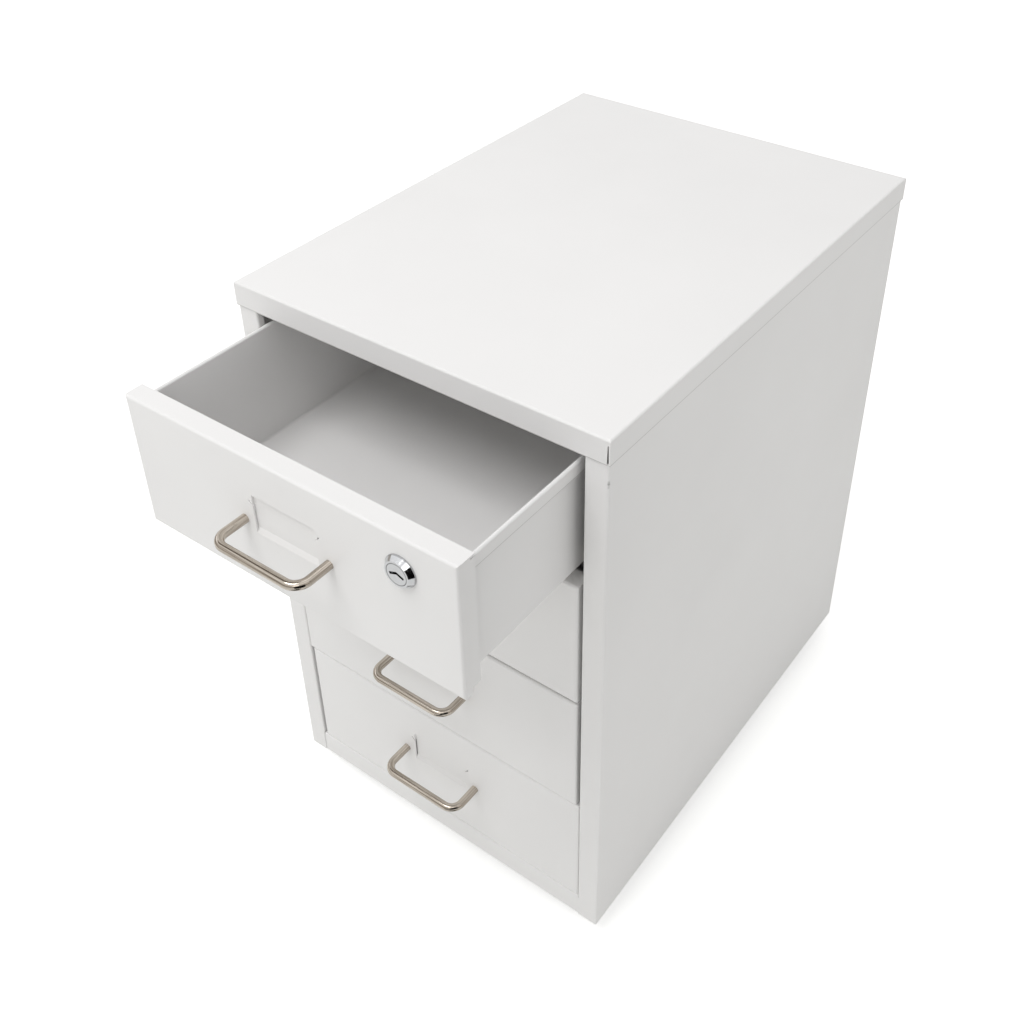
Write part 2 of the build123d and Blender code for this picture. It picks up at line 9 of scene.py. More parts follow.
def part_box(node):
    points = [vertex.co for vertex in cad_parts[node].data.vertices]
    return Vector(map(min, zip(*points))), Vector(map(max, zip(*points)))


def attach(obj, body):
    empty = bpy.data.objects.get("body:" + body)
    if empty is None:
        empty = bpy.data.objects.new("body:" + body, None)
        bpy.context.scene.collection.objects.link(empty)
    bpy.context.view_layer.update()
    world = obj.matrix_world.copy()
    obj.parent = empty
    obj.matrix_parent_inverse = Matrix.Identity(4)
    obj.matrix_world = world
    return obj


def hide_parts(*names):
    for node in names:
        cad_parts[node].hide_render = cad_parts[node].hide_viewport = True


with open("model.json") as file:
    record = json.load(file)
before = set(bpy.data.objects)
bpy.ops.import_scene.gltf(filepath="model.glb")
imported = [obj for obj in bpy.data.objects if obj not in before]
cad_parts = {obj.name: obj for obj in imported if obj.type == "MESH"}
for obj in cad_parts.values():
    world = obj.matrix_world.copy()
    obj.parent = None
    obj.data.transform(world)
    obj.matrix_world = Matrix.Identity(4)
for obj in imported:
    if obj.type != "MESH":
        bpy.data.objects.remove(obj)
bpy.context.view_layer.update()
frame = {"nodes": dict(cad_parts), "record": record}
nodes = frame["nodes"]
drawerNumbers = (1, 2, 3, 4)  # from the top down
print("frame:", len(nodes), "pieces of the cabinet")


def hexColour(code):  # sRGB hex to linear
    parts = [int(code[i:i + 2], 16) / 255 for i in (1, 3, 5)]
    return [p / 12.92 if p <= 0.04045 else ((p + 0.055) / 1.055) ** 2.4 for p in parts] + [1.0]


def perMm(size):  # texture scale for a feature of this many millimetres
    return 1000.0 / size


def metres(size):  # from millimetres
    return size / 1000.0


def addNode(tree, kind, settings=None, links=None):
    node = tree.nodes.new(kind)
    for name, value in (settings or {}).items():
        if isinstance(name, str) and hasattr(node, name):
            setattr(node, name, value)
        else:
            node.inputs[name].default_value = value
    for name, source in (links or {}).items():
        tree.links.new(source, node.inputs[name])
    return node


def newMaterial(name, look):
    material = bpy.data.materials.new(name)
    material.use_nodes = True
    tree = material.node_tree
    shader = tree.nodes["Principled BSDF"]
    shader.inputs["Metallic"].default_value = look.get("metallic", 0.0)
    place = addNode(tree, "ShaderNodeTexCoord").outputs["Object"]
    return material, tree, shader, place


def joinFinish(tree, shader, colour, gloss, relief=None):  # what a finish's nodes give, to its shader
    tree.links.new(colour, shader.inputs["Base Color"])
    tree.links.new(gloss.outputs[0], shader.inputs["Roughness"])
    if relief is not None:
        tree.links.new(relief.outputs["Normal"], shader.inputs["Normal"])


def addObject(name, mesh):  # a finished bmesh as an object at the origin
    data = bpy.data.meshes.new(name)
    mesh.to_mesh(data)
    mesh.free()
    thing = bpy.data.objects.new(name, data)
    bpy.context.scene.collection.objects.link(thing)
    return thing


# white powder coat on folded steel: satin, with a fine orange peel and panels that are never quite flat
coatLook = {
    "white": "#EEEDEC",
    "shade": "#E9E8E7",
    "cloudMm": 140,
    "cloudRange": (0.35, 0.65),  # of the noise, from the glossier to the duller coat
    "roughness": (0.36, 0.46),
    "peelMm": 2.4,  # real orange peel is nearer 1 mm, drawn coarser so that it shows
    "peelDepthMm": 0.012,
    "waveMm": 95,
    "waveDepthMm": 0.10,
    "creaseMm": 4.0,
    "creaseShadeRange": (0.5, 0.92),  # of the open share, from the most painted shade to none
    "creaseShadeTone": "#B4B3AF",
    "creaseShadeShare": 0.4,
    "frontShadeShare": 0.05,  # the fronts get little painted shade in their folds and recesses
    "edgeShadowMm": 0.9,
    "edgeShadowBelowMm": 1.0,  # how far the painted shadow line on a hem goes below its edge
    "edgeShadowTone": "#A3A19D",
    "edgeShadowShare": 0.55,
    "bareSteel": "#868583",
    "nickFadeMm": (1.286, 2.571),  # from its middle, where the coat starts and is whole again
    "nickRaggedMm": 2.2,
    "nickShare": 0.85,
    "nickStretch": 0.3,  # share of its height that counts, so that it is a tall mark
    "nickInMm": 0.2,  # from the post's outer corner
    "nickDownMm": 18.5,  # from the cover's lip
}


def powderCoat(name, nick=None, edge=None, outside=None, dustAndShade=coatLook["creaseShadeShare"]):
    material, tree, shader, place = newMaterial(name, coatLook)
    cloud = addNode(tree, "ShaderNodeTexNoise", {"Scale": perMm(coatLook["cloudMm"]), "Detail": 3.0},
                    {"Vector": place})
    peel = addNode(tree, "ShaderNodeTexNoise",
                   {"Scale": perMm(coatLook["peelMm"]), "Detail": 2.0, "Roughness": 0.45}, {"Vector": place})
    wave = addNode(tree, "ShaderNodeTexNoise", {"Scale": perMm(coatLook["waveMm"]), "Detail": 1.0},
                   {"Vector": place})
    tone = addNode(tree, "ShaderNodeMix", {
        "data_type": "RGBA", 6: hexColour(coatLook["white"]), 7: hexColour(coatLook["shade"]),
    }, {0: cloud.outputs["Fac"]})
    gloss = addNode(tree, "ShaderNodeMapRange", {
        "From Min": coatLook["cloudRange"][0], "From Max": coatLook["cloudRange"][1],
        "To Min": coatLook["roughness"][0], "To Max": coatLook["roughness"][1],
    }, {"Value": cloud.outputs["Fac"]})
    waves = addNode(tree, "ShaderNodeBump", {"Strength": 0.5, "Distance": metres(coatLook["waveDepthMm"])},
                    {"Height": wave.outputs["Fac"]})
    relief = addNode(tree, "ShaderNodeBump", {"Strength": 0.6, "Distance": metres(coatLook["peelDepthMm"])},
                     {"Height": peel.outputs["Fac"], "Normal": waves.outputs["Normal"]})
    # painted shade: ambient occlusion darkens the coat's colour in folds, gaps and recesses
    crease = addNode(tree, "ShaderNodeAmbientOcclusion",
                     {"samples": 8, "only_local": True, "Distance": metres(coatLook["creaseMm"])})
    darkened = addNode(tree, "ShaderNodeMapRange", {
        "From Min": coatLook["creaseShadeRange"][0], "From Max": coatLook["creaseShadeRange"][1],
        "To Min": dustAndShade, "To Max": 0.0,
    }, {"Value": crease.outputs["AO"]})  # painted shade in the folds, gaps and recesses, darker where they are more enclosed
    colour = addNode(tree, "ShaderNodeMix", {"data_type": "RGBA", 7: hexColour(coatLook["creaseShadeTone"])},
                     {0: darkened.outputs[0], 6: tone.outputs[2]}).outputs[2]
    if edge:  # a thin grey line painted at this height, at the lower edges of the cover's lip and the trays' hems: painted shadow under the edge
        width = metres(coatLook["edgeShadowMm"])
        at = addNode(tree, "ShaderNodeSeparateXYZ", links={0: place})
        drawn = addNode(tree, "ShaderNodeMapRange", {
            "From Min": edge + width / 2, "From Max": edge + width,
            "To Min": coatLook["edgeShadowShare"], "To Max": 0.0,
        }, {"Value": at.outputs["Z"]}).outputs[0]
        if outside:  # only on the hems, which lie past this distance from the tray's middle
            middle, distance = outside
            off = addNode(tree, "ShaderNodeMath", {"operation": "SUBTRACT", 1: middle}, {0: at.outputs["X"]})
            away = addNode(tree, "ShaderNodeMath", {"operation": "ABSOLUTE"}, {0: off.outputs[0]})
            past = addNode(tree, "ShaderNodeMath", {"operation": "GREATER_THAN", 1: distance},
                           {0: away.outputs[0]})
            above = addNode(tree, "ShaderNodeMath",
                            {"operation": "GREATER_THAN", 1: edge - metres(coatLook["edgeShadowBelowMm"])},
                            {0: at.outputs["Z"]})
            hem = addNode(tree, "ShaderNodeMath", {"operation": "MULTIPLY"},
                          {0: past.outputs[0], 1: above.outputs[0]})
            drawn = addNode(tree, "ShaderNodeMath", {"operation": "MULTIPLY"},
                            {0: drawn, 1: hem.outputs[0]}).outputs[0]
        colour = addNode(tree, "ShaderNodeMix", {"data_type": "RGBA", 7: hexColour(coatLook["edgeShadowTone"])},
                         {0: drawn, 6: colour}).outputs[2]
    if nick:  # coat knocked off a fold, where the steel shows
        offset = addNode(tree, "ShaderNodeVectorMath", {"operation": "SUBTRACT", 1: nick}, {0: place})
        squat = addNode(tree, "ShaderNodeVectorMath",
                        {"operation": "MULTIPLY", 1: (1.0, 1.0, coatLook["nickStretch"])},
                        {0: offset.outputs[0]})
        apart = addNode(tree, "ShaderNodeVectorMath", {"operation": "LENGTH"}, {0: squat.outputs[0]})
        ragged = addNode(tree, "ShaderNodeMath",
                         {"operation": "MULTIPLY_ADD", 1: metres(coatLook["nickRaggedMm"])},
                         {0: peel.outputs["Fac"], 2: apart.outputs["Value"]})
        bare = addNode(tree, "ShaderNodeMapRange", {
            "From Min": metres(coatLook["nickFadeMm"][0]), "From Max": metres(coatLook["nickFadeMm"][1]),
            "To Min": coatLook["nickShare"], "To Max": 0.0,
        }, {"Value": ragged.outputs[0]})
        colour = addNode(tree, "ShaderNodeMix", {"data_type": "RGBA", 7: hexColour(coatLook["bareSteel"])},
                         {0: bare.outputs[0], 6: colour}).outputs[2]
    joinFinish(tree, shader, colour, gloss, relief)
    return material


# satin nickel plate on drawn wire: warm grey, with fine drawing lines along the wire
nickelLook = {
    "metallic": 1.0,
    "pale": "#DCD3C8",
    "deep": "#A0968A",
    "lineMm": 1.1,  # real lines are far finer, drawn coarser so that they show
    "lineLengthMm": 60,
    "lineRange": (0.36, 0.62),  # of the noise, from the pale to the deep tone
    "lineDepthMm": 0.02,
    "patchMm": 14,
    "patchRange": (0.3, 0.7),
    "roughness": (0.10, 0.18),
}


def satinNickel():
    material, tree, shader, place = newMaterial("satinNickel", nickelLook)
    wire = addNode(tree, "ShaderNodeAttribute", {"attribute_name": "wirePlace"})
    across = perMm(nickelLook["lineMm"])
    drawn = addNode(tree, "ShaderNodeMapping",
                    {"Scale": (perMm(nickelLook["lineLengthMm"]), across, across)},
                    {"Vector": wire.outputs["Vector"]})
    lines = addNode(tree, "ShaderNodeTexNoise", {"Scale": 1.0, "Detail": 3.0, "Roughness": 0.6},
                    {"Vector": drawn.outputs[0]})
    patch = addNode(tree, "ShaderNodeTexNoise", {"Scale": perMm(nickelLook["patchMm"]), "Detail": 2.0},
                    {"Vector": place})
    streak = addNode(tree, "ShaderNodeMapRange", {
        "From Min": nickelLook["lineRange"][0], "From Max": nickelLook["lineRange"][1],
    }, {"Value": lines.outputs["Fac"]})
    tone = addNode(tree, "ShaderNodeMix", {
        "data_type": "RGBA", 6: hexColour(nickelLook["pale"]), 7: hexColour(nickelLook["deep"]),
    }, {0: streak.outputs[0]})
    gloss = addNode(tree, "ShaderNodeMapRange", {
        "From Min": nickelLook["patchRange"][0], "From Max": nickelLook["patchRange"][1],
        "To Min": nickelLook["roughness"][0], "To Max": nickelLook["roughness"][1],
    }, {"Value": patch.outputs["Fac"]})
    relief = addNode(tree, "ShaderNodeBump", {"Strength": 0.25, "Distance": metres(nickelLook["lineDepthMm"])},
                     {"Height": lines.outputs["Fac"]})
    joinFinish(tree, shader, tone.outputs[2], gloss, relief)
    return material


# bright chrome plate on a die-cast lock: mirror-like, with polishing haze and grime in its joints
chromeLook = {
    "metallic": 1.0,
    "bright": "#DCDDDF",
    "haze": "#CFD0D3",
    "hazeMm": 3.0,
    "hazeRange": (0.35, 0.65),
    "roughness": (0.05, 0.14),
    "grime": "#3A3938",
    "jointMm": 9.2,  # radius at which the plug turns in the body
    "lineMm": 0.35,
    "jointShare": 0.65,
    "rimShare": 0.3,
}


def brightChrome(axisX, axisZ, rimRadius):
    material, tree, shader, place = newMaterial("brightChromePlate", chromeLook)
    haze = addNode(tree, "ShaderNodeTexNoise", {"Scale": perMm(chromeLook["hazeMm"]), "Detail": 3.0},
                   {"Vector": place})
    tone = addNode(tree, "ShaderNodeMix", {
        "data_type": "RGBA", 6: hexColour(chromeLook["bright"]), 7: hexColour(chromeLook["haze"]),
    }, {0: haze.outputs["Fac"]})
    gloss = addNode(tree, "ShaderNodeMapRange", {
        "From Min": chromeLook["hazeRange"][0], "From Max": chromeLook["hazeRange"][1],
        "To Min": chromeLook["roughness"][0], "To Max": chromeLook["roughness"][1],
    }, {"Value": haze.outputs["Fac"]})

    # grime round the plug and at the rim, by the distance from the lock's axis
    line = metres(chromeLook["lineMm"])
    flat = addNode(tree, "ShaderNodeVectorMath", {"operation": "MULTIPLY", 1: (1.0, 0.0, 1.0)}, {0: place})
    away = addNode(tree, "ShaderNodeVectorMath", {"operation": "DISTANCE", 1: (axisX, 0.0, axisZ)},
                   {0: flat.outputs[0]})
    joint = addNode(tree, "ShaderNodeMath",
                    {"operation": "COMPARE", 1: metres(chromeLook["jointMm"]), 2: line},
                    {0: away.outputs["Value"]})
    rim = addNode(tree, "ShaderNodeMath", {"operation": "GREATER_THAN", 1: rimRadius - line},
                  {0: away.outputs["Value"]})
    darkened = addNode(tree, "ShaderNodeMath", {"operation": "MULTIPLY", 1: chromeLook["jointShare"]},
                   {0: joint.outputs[0]})
    grimy = addNode(tree, "ShaderNodeMath", {"operation": "MULTIPLY_ADD", 1: chromeLook["rimShare"]},
                    {0: rim.outputs[0], 2: darkened.outputs[0]})
    worn = addNode(tree, "ShaderNodeMix", {"data_type": "RGBA", 7: hexColour(chromeLook["grime"])},
                   {0: grimy.outputs[0], 6: tone.outputs[2]})
    joinFinish(tree, shader, worn.outputs[2], gloss)
    return material


# bright zinc plate on rolled steel: bluish grey, cloudy, with rolling lines
zincLook = {
    "metallic": 1.0,
    "pale": "#C3C7CC",
    "deep": "#9FA4AA",
    "cloudMm": 9,
    "lineMm": 0.8,
    "lineLengthMm": 40,
    "lineShare": 0.35,
    "lineDepthMm": 0.03,
    "glossRange": (0.3, 0.9),
    "roughness": (0.26, 0.44),
}


def zincPlate():
    material, tree, shader, place = newMaterial("brightZincPlate", zincLook)
    cloud = addNode(tree, "ShaderNodeTexNoise",
                    {"Scale": perMm(zincLook["cloudMm"]), "Detail": 5.0, "Distortion": 0.4}, {"Vector": place})
    across = perMm(zincLook["lineMm"])
    rolled = addNode(tree, "ShaderNodeMapping", {"Scale": (across, perMm(zincLook["lineLengthMm"]), across)},
                     {"Vector": place})
    lines = addNode(tree, "ShaderNodeTexNoise", {"Scale": 1.0, "Detail": 2.0}, {"Vector": rolled.outputs[0]})
    both = addNode(tree, "ShaderNodeMath", {"operation": "MULTIPLY_ADD", 1: zincLook["lineShare"]},
                   {0: lines.outputs["Fac"], 2: cloud.outputs["Fac"]})
    tone = addNode(tree, "ShaderNodeMix", {
        "data_type": "RGBA", 6: hexColour(zincLook["deep"]), 7: hexColour(zincLook["pale"]),
    }, {0: both.outputs[0]})
    gloss = addNode(tree, "ShaderNodeMapRange", {
        "From Min": zincLook["glossRange"][0], "From Max": zincLook["glossRange"][1],
        "To Min": zincLook["roughness"][0], "To Max": zincLook["roughness"][1],
    }, {"Value": both.outputs[0]})
    relief = addNode(tree, "ShaderNodeBump", {"Strength": 0.2, "Distance": metres(zincLook["lineDepthMm"])},
                     {"Height": lines.outputs["Fac"]})
    joinFinish(tree, shader, tone.outputs[2], gloss, relief)
    return material


# natural nylon, moulded: milky, slightly waxy, with a spark-eroded grain
nylonLook = {
    "milk": "#E9E5DA",
    "warm": "#DED8C9",
    "flowMm": 11,
    "grainMm": 0.9,
    "grainRange": (0.3, 0.7),
    "grainDepthMm": 0.04,
    "roughness": (0.38, 0.52),
    "waxShare": 0.15,
    "waxDepth": (0.002, 0.0018, 0.0014),  # metres that red, green and blue go in
}


def mouldedNylon():
    material, tree, shader, place = newMaterial("mouldedNylon", nylonLook)
    shader.inputs["Subsurface Weight"].default_value = nylonLook["waxShare"]
    shader.inputs["Subsurface Radius"].default_value = nylonLook["waxDepth"]
    grain = addNode(tree, "ShaderNodeTexNoise", {"Scale": perMm(nylonLook["grainMm"]), "Detail": 3.0},
                    {"Vector": place})
    flow = addNode(tree, "ShaderNodeTexNoise", {"Scale": perMm(nylonLook["flowMm"]), "Detail": 2.0},
                   {"Vector": place})
    tone = addNode(tree, "ShaderNodeMix", {
        "data_type": "RGBA", 6: hexColour(nylonLook["milk"]), 7: hexColour(nylonLook["warm"]),
    }, {0: flow.outputs["Fac"]})
    gloss = addNode(tree, "ShaderNodeMapRange", {
        "From Min": nylonLook["grainRange"][0], "From Max": nylonLook["grainRange"][1],
        "To Min": nylonLook["roughness"][0], "To Max": nylonLook["roughness"][1],
    }, {"Value": grain.outputs["Fac"]})
    relief = addNode(tree, "ShaderNodeBump", {"Strength": 0.3, "Distance": metres(nylonLook["grainDepthMm"])},
                     {"Height": grain.outputs["Fac"]})
    joinFinish(tree, shader, tone.outputs[2], gloss, relief)
    return material


# black castor wheel: moulded core, with a matt rubber tread that carries grey floor dust
treadLook = {
    "rubber": "#1B1B1D",
    "core": "#232326",
    "dustAndShade": "#57544F",
    "treadFromMm": 16.0,  # radius at which the tread starts
    "joinMm": 0.4,
    "scuffMm": 6,
    "scuffRange": (0.5, 0.8),
    "dustShare": 0.5,
    "grainMm": 0.7,
    "grainDepthMm": 0.06,
    "roughness": (0.38, 0.68),  # core and tread
}


def castorTread(name, axleY, axleZ):
    material, tree, shader, place = newMaterial(name, treadLook)
    flat = addNode(tree, "ShaderNodeVectorMath", {"operation": "MULTIPLY", 1: (0.0, 1.0, 1.0)}, {0: place})
    away = addNode(tree, "ShaderNodeVectorMath", {"operation": "DISTANCE", 1: (0.0, axleY, axleZ)},
                   {0: flat.outputs[0]})
    tread = addNode(tree, "ShaderNodeMapRange", {
        "From Min": metres(treadLook["treadFromMm"]),
        "From Max": metres(treadLook["treadFromMm"] + treadLook["joinMm"]),
    }, {"Value": away.outputs["Value"]})
    grain = addNode(tree, "ShaderNodeTexNoise", {"Scale": perMm(treadLook["grainMm"]), "Detail": 3.0},
                    {"Vector": place})
    scuff = addNode(tree, "ShaderNodeTexNoise",
                    {"Scale": perMm(treadLook["scuffMm"]), "Detail": 4.0, "Roughness": 0.6}, {"Vector": place})
    dusty = addNode(tree, "ShaderNodeMapRange", {
        "From Min": treadLook["scuffRange"][0], "From Max": treadLook["scuffRange"][1],
        "To Max": treadLook["dustShare"],
    }, {"Value": scuff.outputs["Fac"]})
    worn = addNode(tree, "ShaderNodeMath", {"operation": "MULTIPLY"},
                   {0: dusty.outputs[0], 1: tread.outputs[0]})
    black = addNode(tree, "ShaderNodeMix", {
        "data_type": "RGBA", 6: hexColour(treadLook["core"]), 7: hexColour(treadLook["rubber"]),
    }, {0: tread.outputs[0]})
    tone = addNode(tree, "ShaderNodeMix", {"data_type": "RGBA", 7: hexColour(treadLook["dustAndShade"])},
                   {0: worn.outputs[0], 6: black.outputs[2]})
    gloss = addNode(tree, "ShaderNodeMapRange", {
        "To Min": treadLook["roughness"][0], "To Max": treadLook["roughness"][1],
    }, {"Value": tread.outputs[0]})
    relief = addNode(tree, "ShaderNodeBump", {"Strength": 0.35, "Distance": metres(treadLook["grainDepthMm"])},
                     {"Height": grain.outputs["Fac"]})
    joinFinish(tree, shader, tone.outputs[2], gloss, relief)
    return material


lockLow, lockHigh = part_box("lock_body")
lockMiddle = (lockLow + lockHigh) / 2
finishes = {  # by the record's material slots
    "white_powder_coat": powderCoat("whitePowderCoat"),
    "satin_nickel_wire": satinNickel(),
    "lock_chrome": brightChrome(lockMiddle.x, lockMiddle.z, (lockHigh.x - lockLow.x) / 2),
    "zinc_plated_steel": zincPlate(),
    "nylon": mouldedNylon(),
}

# pieces whose coat has marks of its own: the cover's lip and the trays' hems with a painted shadow line, the
# nicked post, and the fronts with less painted shade
hemShape = {"heightMm": 12.0, "fromOutsideMm": 1.05}
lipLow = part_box("top_cover")[0].z
postLow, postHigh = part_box("right_side")
nickIn = metres(coatLook["nickInMm"])
nickAt = (postHigh.x - nickIn, postLow.y + nickIn, lipLow - metres(coatLook["nickDownMm"]))
coatsByNode = {
    "top_cover": powderCoat("whitePowderCoatCover", edge=lipLow),
    "right_side": powderCoat("whitePowderCoatRightSide", nick=nickAt),
}
frontCoat = powderCoat("whitePowderCoatFronts", dustAndShade=coatLook["frontShadeShare"])
for number in drawerNumbers:
    coatsByNode[f"drawer_{number}_front"] = frontCoat
    low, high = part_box(f"drawer_{number}_tray")
    middle, half = (low.x + high.x) / 2, (high.x - low.x) / 2
    coatsByNode[f"drawer_{number}_tray"] = powderCoat(
        f"whitePowderCoatTray{number}", edge=high.z - metres(hemShape["heightMm"]),
        outside=(middle, half - metres(hemShape["fromOutsideMm"])))
print("finishes:", len(finishes) + len(coatsByNode))

for part in frame["record"]["subparts"]:
    name, slotName = part["node"], part["material_slot"]
    finish = coatsByNode.get(name) or finishes.get(slotName)
    if slotName == "black_tread":  # the two wheels of one axle line share a finish
        low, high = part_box(name)
        rubber = ("front" if "front" in name else "rear") + "CastorRubber"
        axle = (low + high) / 2
        finish = bpy.data.materials.get(rubber) or castorTread(rubber, axle.y, axle.z)
    for slot in nodes[name].material_slots:
        slot.material = finish
print("finishes put on the folded pieces and fittings")


handleShape = {
    "bend": 0.012,  # radius at the wire's middle
    "sides": 40,
    "bendSteps": 16,
    "runSteps": 8,
    "patternStep": 0.05,  # moves the drawing lines on from handle to handle
    "sortWay": (1.0, 2.618, 3.303),  # a slant along which no two points are level
}


def makeHandle(number):
    node = f"drawer_{number}_handle"
    low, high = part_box(node)
    wire = high.z - low.z
    pitch = high.x - low.x - wire
    reach = high.y - low.y - wire / 2
    left, face, level = low.x + wire / 2, high.y, (low.z + high.z) / 2
    bend = handleShape["bend"]
    leg, bar = reach - bend, pitch - 2 * bend  # the straight runs
    mesh = bmesh.new()
    foot = Matrix.Translation((left, face, level)) @ Matrix.Rotation(math.radians(90), 4, "X")
    bmesh.ops.create_circle(mesh, segments=handleShape["sides"], radius=wire / 2, matrix=foot)

    def straight(rim, way, length):
        for step in range(handleShape["runSteps"]):
            grown = bmesh.ops.extrude_edge_only(mesh, edges=rim)["geom"]
            verts = {g for g in grown if isinstance(g, bmesh.types.BMVert)}
            bmesh.ops.translate(mesh, vec=way * (length / handleShape["runSteps"]), verts=list(verts))
            rim = [g for g in grown if isinstance(g, bmesh.types.BMEdge) and set(g.verts) <= verts]
        return rim

    def corner(rim, centre):
        ring = rim + list(dict.fromkeys(v for e in rim for v in e.verts))
        turned = bmesh.ops.spin(mesh, geom=ring, cent=centre, axis=(0, 0, 1), angle=math.radians(90),
                                steps=handleShape["bendSteps"], use_merge=False)
        return [g for g in turned["geom_last"] if isinstance(g, bmesh.types.BMEdge)]

    rim = straight(mesh.edges[:], Vector((0, -1, 0)), leg)
    rim = corner(rim, (left + bend, face - leg, level))
    rim = straight(rim, Vector((1, 0, 0)), bar)
    rim = corner(rim, (left + pitch - bend, face - leg, level))
    straight(rim, Vector((0, 1, 0)), leg)
    ends = [e for e in mesh.edges if e.is_boundary]
    bmesh.ops.holes_fill(mesh, edges=ends, sides=0)
    bmesh.ops.recalc_face_normals(mesh, faces=mesh.faces[:])
    for f in mesh.faces:
        f.smooth = True
    for e in ends:
        e.smooth = False

    # extrude gives its faces in an order that changes from run to run, so the mesh is put in one order
    way = Vector(handleShape["sortWay"])
    mesh.verts.sort(key=lambda v: v.co.dot(way))
    mesh.edges.sort(key=lambda e: (e.verts[0].co + e.verts[1].co).dot(way))
    mesh.faces.sort(key=lambda f: f.calc_center_median().dot(way))
    piece = addObject(f"wireHandle{number}", mesh)

    # place along the wire and across it, so that the drawing lines follow the bends
    quarter = bend * math.pi / 2
    total = 2 * (leg + quarter) + bar
    attribute = piece.data.attributes.new("wirePlace", "FLOAT_VECTOR", "POINT")
    for i, v in enumerate(piece.data.vertices):
        x, y, z = v.co.x - left, face - v.co.y, v.co.z - level
        mirrored = x > pitch / 2
        if mirrored:
            x = pitch - x
        if y <= leg:
            along, inner = y, x
        elif x >= bend:
            along, inner = leg + quarter + x - bend, reach - y
        else:
            along = leg + bend * math.atan2(y - leg, bend - x)
            inner = bend - math.hypot(bend - x, y - leg)
        across = inner + number * handleShape["patternStep"]
        attribute.data[i].vector = (total - along if mirrored else along, across, z)
    piece.data.materials.append(finishes["satin_nickel_wire"])
    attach(piece, f"drawer_{number}")
    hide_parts(node)
    return piece


handles = [makeHandle(number) for number in drawerNumbers]
print("handles:", len(handles))


skyLight = {"horizon": 0.89, "zenith": 0.54}


def makeSky():
    world = bpy.data.worlds.new("whiteStudio")
    bpy.context.scene.world = world
    world.use_nodes = True
    tree = world.node_tree
    tree.nodes.clear()
    rays = addNode(tree, "ShaderNodeLightPath")
    seen = addNode(tree, "ShaderNodeMath", {"operation": "MAXIMUM"},
                   {0: rays.outputs["Is Camera Ray"], 1: rays.outputs["Is Glossy Ray"]})
    through = addNode(tree, "ShaderNodeMath", {"operation": "MAXIMUM"},
                      {0: seen.outputs[0], 1: rays.outputs["Is Transmission Ray"]})
    way = addNode(tree, "ShaderNodeTexCoord")
    height = addNode(tree, "ShaderNodeSeparateXYZ", links={0: way.outputs["Generated"]})
    dome = addNode(tree, "ShaderNodeMapRange", {"To Min": skyLight["horizon"], "To Max": skyLight["zenith"]},
                   {"Value": height.outputs["Z"]})
    light = addNode(tree, "ShaderNodeBackground", {"Color": (1, 1, 1, 1)}, {"Strength": dome.outputs[0]})
    white = addNode(tree, "ShaderNodeBackground", {"Color": (1, 1, 1, 1), "Strength": 1.0})
    mixed = addNode(tree, "ShaderNodeMixShader",
                    links={0: through.outputs[0], 1: light.outputs[0], 2: white.outputs[0]})
    addNode(tree, "ShaderNodeOutputWorld", links={"Surface": mixed.outputs[0]})


keyLight = {"watts": 35.0, "size": 1.5, "place": (-0.35, -1.3, 3.0), "aim": (0.0, -0.05, 0.45)}


def makeKey():
    lamp = bpy.data.lights.new("softKey", "AREA")
    lamp.energy, lamp.size = keyLight["watts"], keyLight["size"]
    key = bpy.data.objects.new("softKey", lamp)
    key.location = keyLight["place"]
    way = Vector(keyLight["aim"]) - Vector(keyLight["place"])
    key.rotation_euler = way.to_track_quat("-Z", "Y").to_euler()
    bpy.context.scene.collection.objects.link(key)


# seamless paper, lifted to white for the camera but for the shadow
paperFloor = {"tone": "#F2F2F0", "glow": 0.5, "size": 6.0, "drop": 0.0003}


def makeFloor():
    mesh = bmesh.new()
    bmesh.ops.create_grid(mesh, x_segments=2, y_segments=2, size=paperFloor["size"])
    bmesh.ops.translate(mesh, vec=(0, 0, -paperFloor["drop"]), verts=mesh.verts[:])
    floor = addObject("studioFloor", mesh)
    paper = bpy.data.materials.new("palePaper")
    paper.use_nodes = True
    tree = paper.node_tree
    tree.nodes.clear()
    rays = addNode(tree, "ShaderNodeLightPath")
    matt = addNode(tree, "ShaderNodeBsdfDiffuse", {"Color": hexColour(paperFloor["tone"])})
    lift = addNode(tree, "ShaderNodeMath", {"operation": "MULTIPLY", 1: paperFloor["glow"]},
                   {0: rays.outputs["Is Camera Ray"]})
    glow = addNode(tree, "ShaderNodeEmission", {"Color": (1, 1, 1, 1)}, {"Strength": lift.outputs[0]})
    both = addNode(tree, "ShaderNodeAddShader", links={0: matt.outputs[0], 1: glow.outputs[0]})
    addNode(tree, "ShaderNodeOutputMaterial", links={"Surface": both.outputs[0]})
    floor.data.materials.append(paper)


def stageObject(name, mesh, tone, strength, shades):
    thing = addObject(name, mesh)
    paint = bpy.data.materials.new(name)
    paint.use_nodes = True
    tree = paint.node_tree
    tree.nodes.clear()
    glow = addNode(tree, "ShaderNodeEmission", {"Color": hexColour(tone), "Strength": strength})
    addNode(tree, "ShaderNodeOutputMaterial", links={"Surface": glow.outputs[0]})
    thing.data.materials.append(paint)
    thing.visible_camera = thing.visible_transmission = False
    thing.visible_diffuse = thing.visible_shadow = shades
    thing.visible_glossy = not shades


# the dim room past the paper, which only glossy surfaces mirror
roomWall = {"radius": 2.4, "sides": 96, "from": 0.2, "to": 0.95, "tone": "#B3AEA6", "strength": 1.0}


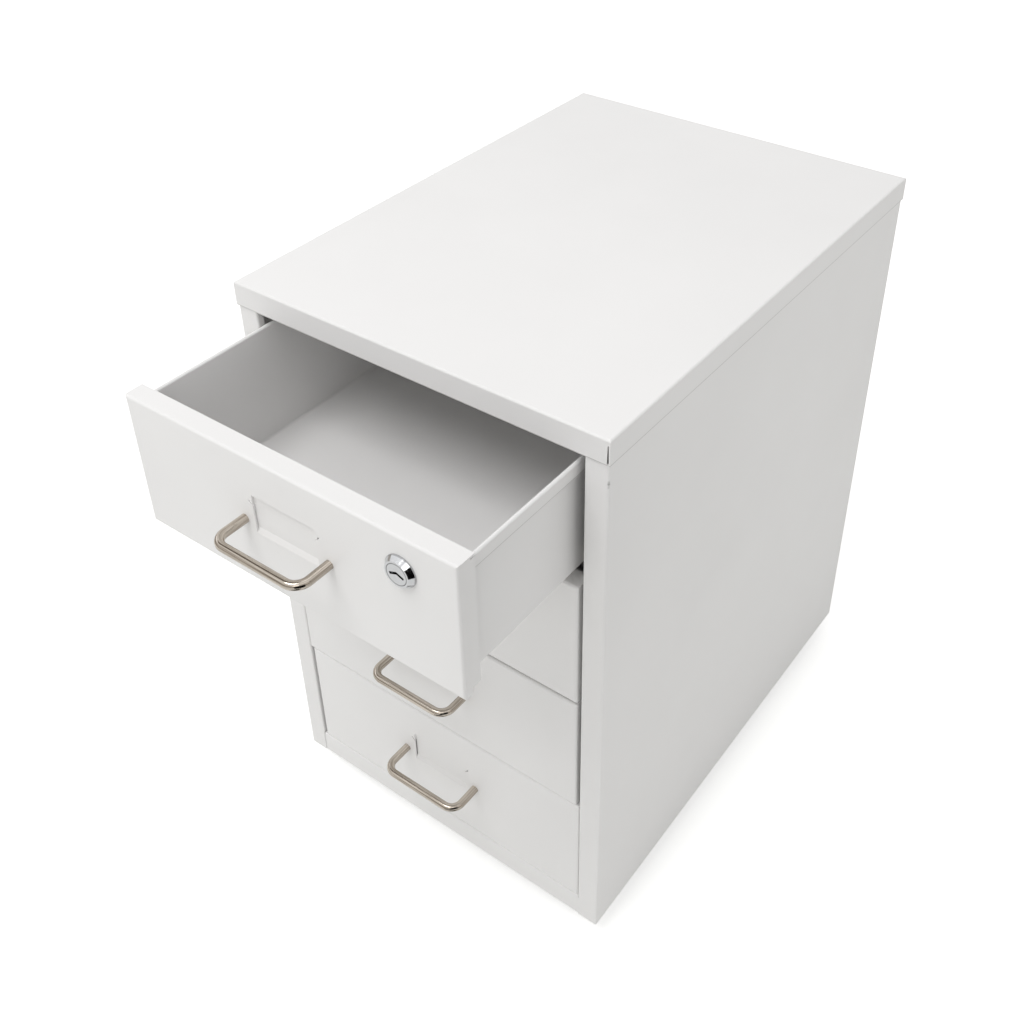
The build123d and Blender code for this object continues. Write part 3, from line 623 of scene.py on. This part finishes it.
def makeWall():
    mesh = bmesh.new()
    rim = bmesh.ops.create_circle(mesh, segments=roomWall["sides"], radius=roomWall["radius"])["verts"]
    bmesh.ops.translate(mesh, vec=(0, 0, roomWall["from"]), verts=rim)
    raised = bmesh.ops.extrude_edge_only(mesh, edges=mesh.edges[:])["geom"]
    upper = [g for g in raised if isinstance(g, bmesh.types.BMVert)]
    bmesh.ops.translate(mesh, vec=(0, 0, roomWall["to"] - roomWall["from"]), verts=upper)
    stageObject("studioWall", mesh, roomWall["tone"], roomWall["strength"], False)


# cards and mats that only glossy surfaces mirror, and a grey flag that takes light off the open drawer's side
studioCards = {
    "darkCard": {"place": (0.78, -0.865, 0.48), "aim": (0.12, -0.32, 0.48), "size": (0.9, 0.94),
                 "tone": "#0B0A0A", "strength": 1.0},
    "paleCard": {"place": (0.85, -1.5, 1.45), "aim": (0.1, -0.32, 0.57), "size": (0.8, 0.6),
                 "tone": "#FFFFFF", "strength": 3.0},
    "ceilingGap": {"place": (-1.3, -0.45, 2.3), "aim": (-1.3, -0.45, 0.0), "size": (2.6, 1.0),
                   "tone": "#7A736A", "strength": 1.0},
    "farMat": {"place": (0.195, -0.611, 0.003), "aim": (0.195, -0.611, -1.0), "size": (0.5, 0.26),
               "tone": "#0B0A0A", "strength": 1.0, "spin": -25},
    "nearMat": {"place": (0.125, -0.285, 0.003), "aim": (0.125, -0.285, -1.0), "size": (0.13, 0.09),
                "tone": "#0B0A0A", "strength": 1.0},
    "greyFlag": {"place": (0.45, -0.45, 0.6), "aim": (0.17, -0.25, 0.5), "size": (0.3, 0.25),
                 "tone": "#6E6E6E", "strength": 1.0, "shades": True},
}


def makeCard(name, card):
    place = Vector(card["place"])
    turn = (Vector(card["aim"]) - place).to_track_quat("-Z", "Y").to_matrix().to_4x4()
    spin = Matrix.Rotation(math.radians(card.get("spin", 0)), 4, "Z")
    mesh = bmesh.new()
    bmesh.ops.create_grid(mesh, x_segments=1, y_segments=1, size=0.5)
    bmesh.ops.scale(mesh, vec=(card["size"][0], card["size"][1], 1.0), verts=mesh.verts[:])
    bmesh.ops.transform(mesh, matrix=Matrix.Translation(place) @ turn @ spin, verts=mesh.verts[:])
    stageObject(name, mesh, card["tone"], card["strength"], card.get("shades", False))


makeSky()
makeKey()
makeFloor()
makeWall()
for name, card in studioCards.items():
    makeCard(name, card)
print("studio: sky, key light, floor, wall and", len(studioCards), "cards")


photoCamera = {
    "place": (0.57209, -0.76729, 1.16109),
    "turn": (55.2136, 0.2141, 35.9108),  # degrees
    "lens": 43.6415,
    "sensor": 36.0,
    "shift": (-0.03711, -0.12402),
    "clip": (0.01, 100.0),
}
camera = bpy.data.objects.new("photoCamera", bpy.data.cameras.new("photoCamera"))
camera.location = photoCamera["place"]
camera.rotation_euler = [math.radians(a) for a in photoCamera["turn"]]
camera.data.sensor_width = photoCamera["sensor"]
camera.data.lens = photoCamera["lens"]
camera.data.shift_x, camera.data.shift_y = photoCamera["shift"]
camera.data.clip_start, camera.data.clip_end = photoCamera["clip"]
bpy.context.scene.collection.objects.link(camera)
bpy.context.scene.camera = camera
bpy.context.scene.view_settings.view_transform = "Standard"
print("camera set")
